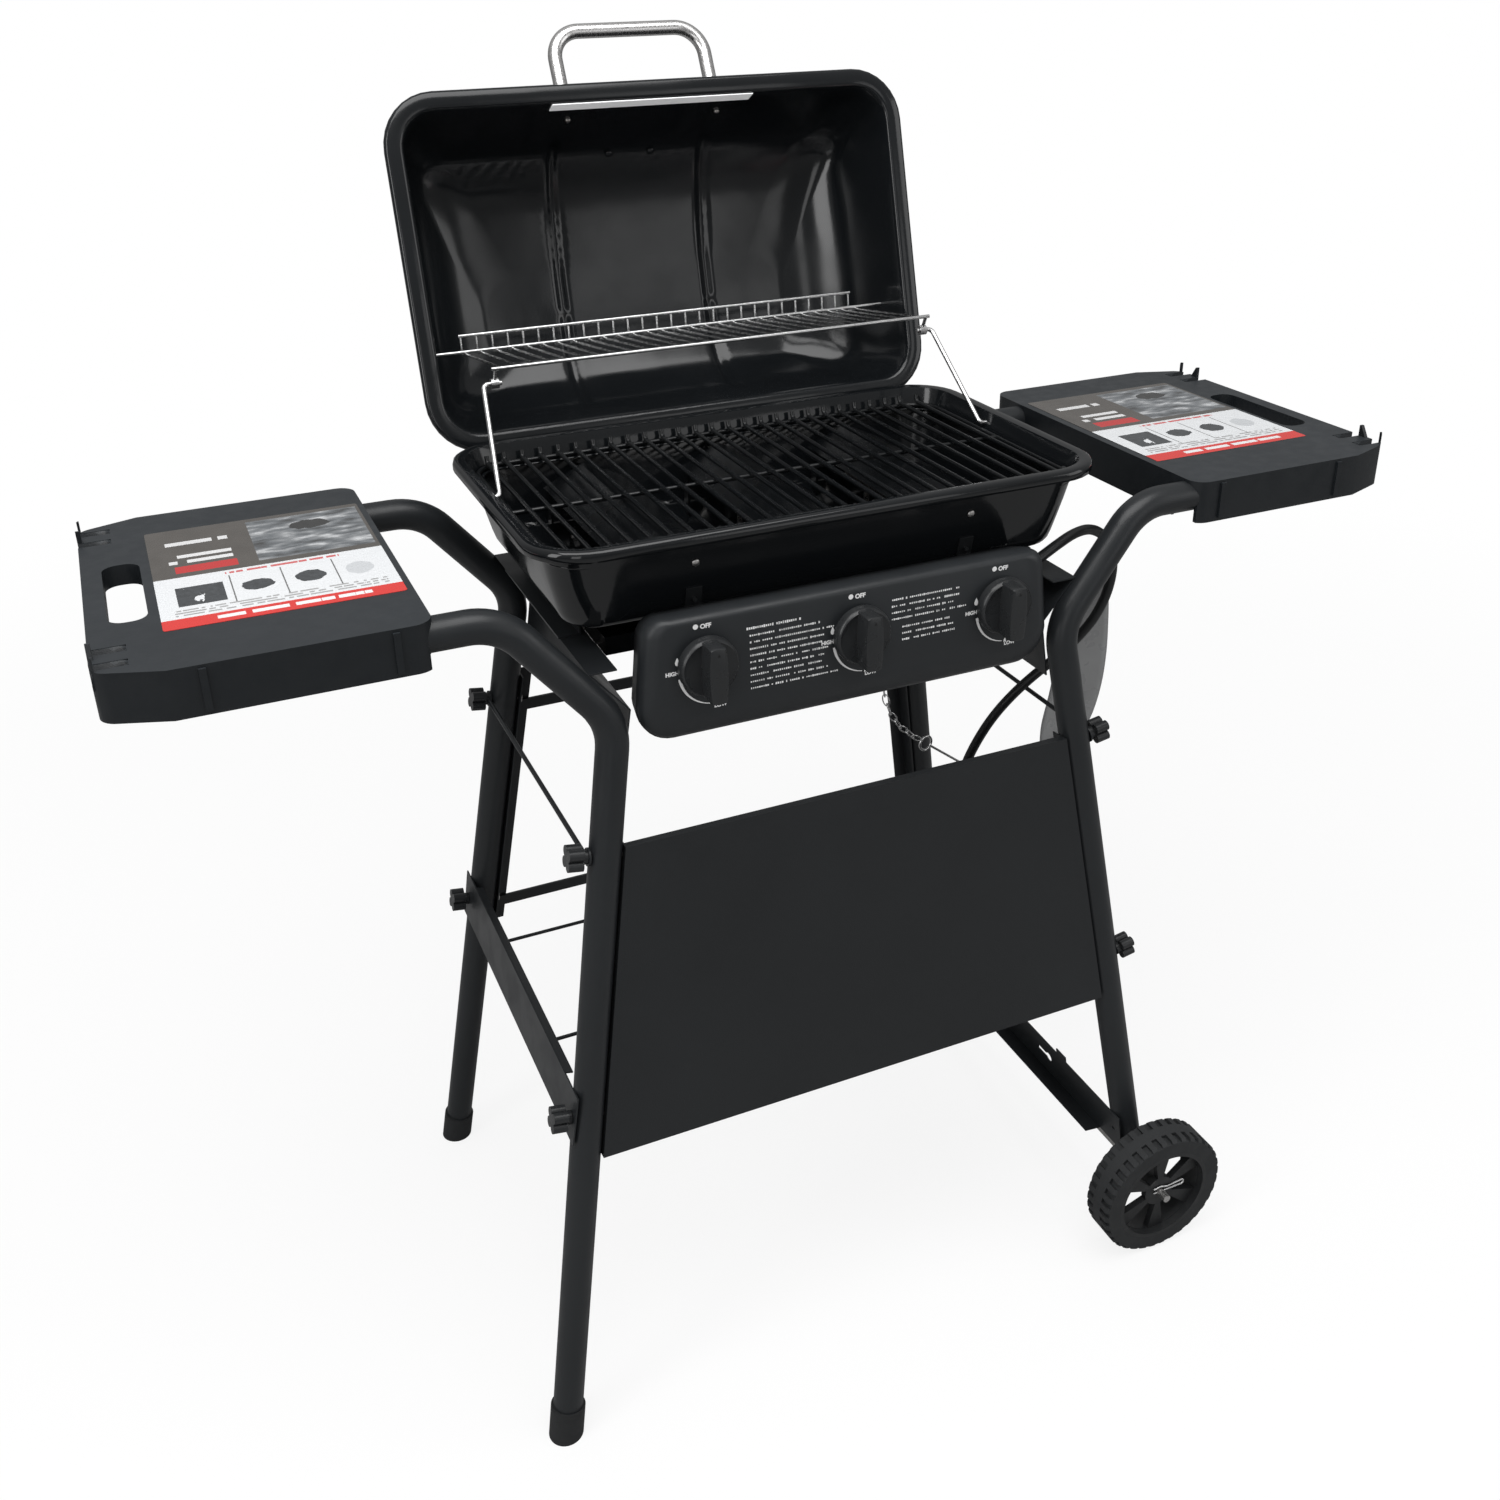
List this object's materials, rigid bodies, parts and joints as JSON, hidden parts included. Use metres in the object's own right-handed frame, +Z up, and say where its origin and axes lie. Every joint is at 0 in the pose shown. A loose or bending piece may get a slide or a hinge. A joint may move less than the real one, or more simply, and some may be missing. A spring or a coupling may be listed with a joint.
{
  "type": "gas barbecue grill",
  "caption": "Gas barbecue grill with burners on a splayed tube cart, hinged lid open with a swinging warming rack, side shelves, wheels, knobs, hose and regulator.",
  "frame": {"origin": "bottom centre of the bounding box, on the ground", "axes": "+X to the wheel side, the right of someone at the knobs; +Y to the back; +Z up"},
  "size_m": [1.336, 0.7404, 1.3646],
  "materials": {
    "cart_paint": "satin powder coat",
    "foot_rubber": "matte",
    "knob_plastic": "moulded",
    "zinc": "zinc plated",
    "bright_wire": "bright plated wire",
    "wheel_plastic": "moulded",
    "tyre": "lugged tread",
    "enamel": "heat resistant enamel",
    "console_paint": "satin",
    "stem_metal": "turned",
    "brass": "turned",
    "handle_steel": "brushed",
    "white_strip": "plain",
    "shelf_plastic": "moulded, fine grain",
    "hose_rubber": "smooth"
  },
  "bodies": {
    "cart": {"axle": "zinc", "axle_channel": "cart_paint", "bottle_guard": "cart_paint", "bowl_hinge_leaves": "cart_paint", "bowl_rails": "cart_paint", "burners": "zinc", "control_panel": "console_paint", "cooking_grate": "enamel", "fire_bowl": "enamel", "frame_bolts": "zinc", "front_left_foot_cap": "foot_rubber", "front_left_lower_leg": "cart_paint", "front_left_upper_tube": "cart_paint", "front_panel": "cart_paint", "front_right_lower_leg": "cart_paint", "front_right_upper_tube": "cart_paint", "gas_hose": "hose_rubber", "gas_manifold": "zinc", "gas_regulator": "stem_metal", "heat_plates": "enamel", "hinge_pins": "zinc", "hitch_pins": "bright_wire", "left_brace": "cart_paint", "left_shelf": "shelf_plastic", "left_side_plate": "cart_paint", "match_chain": "bright_wire", "match_holder": "bright_wire", "rear_frame": "cart_paint", "rear_left_foot_cap": "foot_rubber", "rear_left_lower_leg": "cart_paint", "rear_left_upper_tube": "cart_paint", "rear_right_lower_leg": "cart_paint", "rear_right_upper_tube": "cart_paint", "right_shelf": "shelf_plastic", "right_side_plate": "cart_paint", "tie_rods": "cart_paint", "tray_hooks": "zinc", "wing_knobs": "knob_plastic"},
    "lid": {"lid": "enamel", "lid_handle": "handle_steel", "handle_screws": "zinc", "lid_heat_strip": "white_strip", "lid_hinge_leaves": "cart_paint"},
    "rack": {"warming_rack": "bright_wire"},
    "left_arm": {"left_swing_arm": "bright_wire"},
    "right_arm": {"right_swing_arm": "bright_wire"},
    "tray": {"grease_tray": "enamel"},
    "front_wheel": {"front_wheel_hub": "wheel_plastic", "front_wheel_tyre": "tyre"},
    "rear_wheel": {"rear_wheel_hub": "wheel_plastic", "rear_wheel_tyre": "tyre"},
    "left_push": {"left_spring_seat": "brass"},
    "left_dial": {"left_knob": "knob_plastic", "left_stem": "stem_metal"},
    "middle_push": {"middle_spring_seat": "brass"},
    "middle_dial": {"middle_knob": "knob_plastic", "middle_stem": "stem_metal"},
    "right_push": {"right_spring_seat": "brass"},
    "right_dial": {"right_knob": "knob_plastic", "right_stem": "stem_metal"}
  },
  "joints": [
    {"name": "lid_hinge", "type": "hinge", "parent": "cart", "child": "lid", "pos_m": [0, 0.1483, 0.948], "axis": [1, 0, 0], "range_deg": [0, 104.7]},
    {"name": "rack_pivot", "type": "hinge", "parent": "lid", "child": "rack", "pos_m": [0, 0.2383, 1.0375], "axis": [1, 0, 0], "range_deg": [-104.7, 0]},
    {"name": "left_arm_pivot", "type": "hinge", "parent": "cart", "child": "left_arm", "pos_m": [-0.285, -0.0047, 0.95], "axis": [1, 0, 0], "range_deg": [0, 104.7]},
    {"name": "right_arm_pivot", "type": "hinge", "parent": "cart", "child": "right_arm", "pos_m": [0.285, -0.0047, 0.95], "axis": [1, 0, 0], "range_deg": [0, 104.7]},
    {"name": "tray_slide", "type": "slide", "parent": "cart", "child": "tray", "axis": [0, 1, 0], "range_m": [0, 0.2]},
    {"name": "front_wheel_spin", "type": "hinge", "parent": "cart", "child": "front_wheel", "pos_m": [0.35922, -0.3387, 0.082], "axis": [0, 1, 0], "continuous": true},
    {"name": "rear_wheel_spin", "type": "hinge", "parent": "cart", "child": "rear_wheel", "pos_m": [0.35922, 0.2213, 0.082], "axis": [0, 1, 0], "continuous": true},
    {"name": "left_knob_push", "type": "slide", "parent": "cart", "child": "left_push", "axis": [0, 1, 0], "range_m": [0, 0.003], "stiffness_N_per_m": 800, "springref_m": -0.002},
    {"name": "left_knob_turn", "type": "hinge", "parent": "left_push", "child": "left_dial", "pos_m": [-0.158, -0.2587, 0.846], "axis": [0, -1, 0], "range_deg": [0, 180]},
    {"name": "middle_knob_push", "type": "slide", "parent": "cart", "child": "middle_push", "axis": [0, 1, 0], "range_m": [0, 0.003], "stiffness_N_per_m": 800, "springref_m": -0.002},
    {"name": "middle_knob_turn", "type": "hinge", "parent": "middle_push", "child": "middle_dial", "pos_m": [0, -0.2587, 0.846], "axis": [0, -1, 0], "range_deg": [0, 180]},
    {"name": "right_knob_push", "type": "slide", "parent": "cart", "child": "right_push", "axis": [0, 1, 0], "range_m": [0, 0.003], "stiffness_N_per_m": 800, "springref_m": -0.002},
    {"name": "right_knob_turn", "type": "hinge", "parent": "right_push", "child": "right_dial", "pos_m": [0.158, -0.2587, 0.846], "axis": [0, -1, 0], "range_deg": [0, 180]}
  ],
  "couplings": [
    {"joint": "rack_pivot", "follows": "lid_hinge", "ratio": -1},
    {"joint": "left_arm_pivot", "follows": "lid_hinge", "ratio": 1},
    {"joint": "right_arm_pivot", "follows": "lid_hinge", "ratio": 1}
  ]
}
